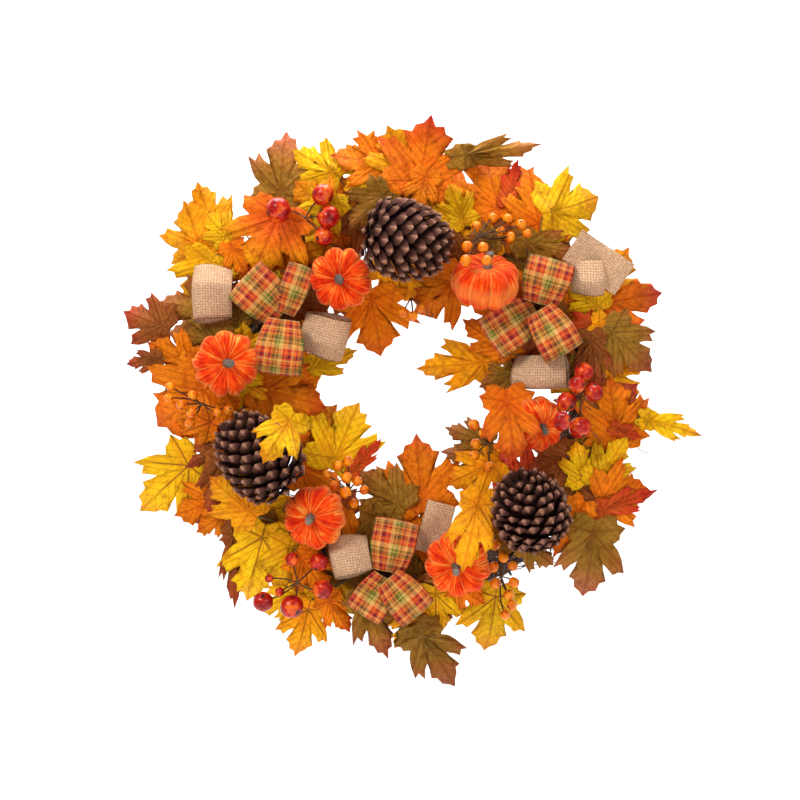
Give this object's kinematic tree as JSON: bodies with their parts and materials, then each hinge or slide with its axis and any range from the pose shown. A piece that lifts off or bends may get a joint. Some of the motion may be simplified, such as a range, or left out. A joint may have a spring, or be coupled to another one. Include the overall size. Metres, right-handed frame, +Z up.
{
  "type": "door wreath",
  "caption": "Round harvest door wreath: maple leaf sprays, stuffed pumpkins, pine cones, berry picks and ribbon bows on a twisted vine ring, hung from a hinged wire loop.",
  "frame": {"origin": "where a door hook bears on the inside of the hanging loop's top, on the flat back plane", "axes": "+Z up, +Y towards the door, so the dressed face looks along -Y"},
  "size_m": [0.611, 0.1602, 0.596],
  "materials": {
    "amber": "printed amber silk leaves, matte",
    "burlap": "open natural burlap ribbon, matte",
    "cone": "dry brown cone scales, matte",
    "olive": "printed olive brown silk leaves, matte",
    "orange": "printed orange silk leaves, matte",
    "orange_berry": "glossy orange coated foam berries",
    "plaid": "woven autumn plaid ribbon, matte",
    "red_berry": "glossy red coated foam berries with orange patches",
    "steel": "dark painted steel wire, satin",
    "stem": "moulded grey green stem",
    "velvet": "crushed orange velvet over stuffing",
    "vine": "dark twisted vine stems, matte",
    "yellow": "printed golden yellow silk leaves, matte"
  },
  "bodies": {
    "loop": {"hanging_loop": "steel"},
    "wreath": {"bow_1_burlap_loop_1": "burlap", "bow_1_burlap_loop_2": "burlap", "bow_1_plaid_loop_1": "plaid", "bow_1_plaid_loop_2": "plaid", "bow_1_plaid_loop_3": "plaid", "bow_1_tie": "steel", "bow_2_burlap_loop_1": "burlap", "bow_2_burlap_loop_2": "burlap", "bow_2_burlap_tail": "burlap", "bow_2_plaid_loop_1": "plaid", "bow_2_plaid_loop_2": "plaid", "bow_2_plaid_loop_3": "plaid", "bow_2_tie": "steel", "bow_3_burlap_loop": "burlap", "bow_3_burlap_tail": "burlap", "bow_3_plaid_loop_1": "plaid", "bow_3_plaid_loop_2": "plaid", "bow_3_plaid_loop_3": "plaid", "bow_3_tie": "steel", "clamp_frame": "steel", "leaf_spray_01": "amber", "leaf_spray_02": "olive", "leaf_spray_03": "orange", "leaf_spray_04": "yellow", "leaf_spray_05": "amber", "leaf_spray_06": "orange", "leaf_spray_07": "orange", "leaf_spray_08": "yellow", "leaf_spray_09": "olive", "leaf_spray_10": "orange", "leaf_spray_11": "olive", "leaf_spray_12": "yellow", "orange_berries_1": "orange_berry", "orange_berries_2": "orange_berry", "orange_berries_3": "orange_berry", "orange_berries_4": "orange_berry", "orange_berries_5": "orange_berry", "orange_berries_6": "orange_berry", "pine_cone_1": "cone", "pine_cone_2": "cone", "pine_cone_3": "cone", "pumpkin_1": "velvet", "pumpkin_1_stem": "stem", "pumpkin_2": "velvet", "pumpkin_2_stem": "stem", "pumpkin_3": "velvet", "pumpkin_3_stem": "stem", "pumpkin_4": "velvet", "pumpkin_4_stem": "stem", "pumpkin_5": "velvet", "pumpkin_5_stem": "stem", "pumpkin_6": "velvet", "pumpkin_6_stem": "stem", "red_berries_1": "red_berry", "red_berries_2": "red_berry", "red_berries_3": "red_berry", "vine_strand_1": "vine", "vine_strand_2": "vine", "vine_strand_3": "vine"}
  },
  "joints": [
    {"name": "wreath_swing", "type": "hinge", "parent": "loop", "child": "wreath", "pos_m": [0, -0.0032, -0.034], "axis": [-1, 0, 0], "range_deg": [0, 25]}
  ]
}
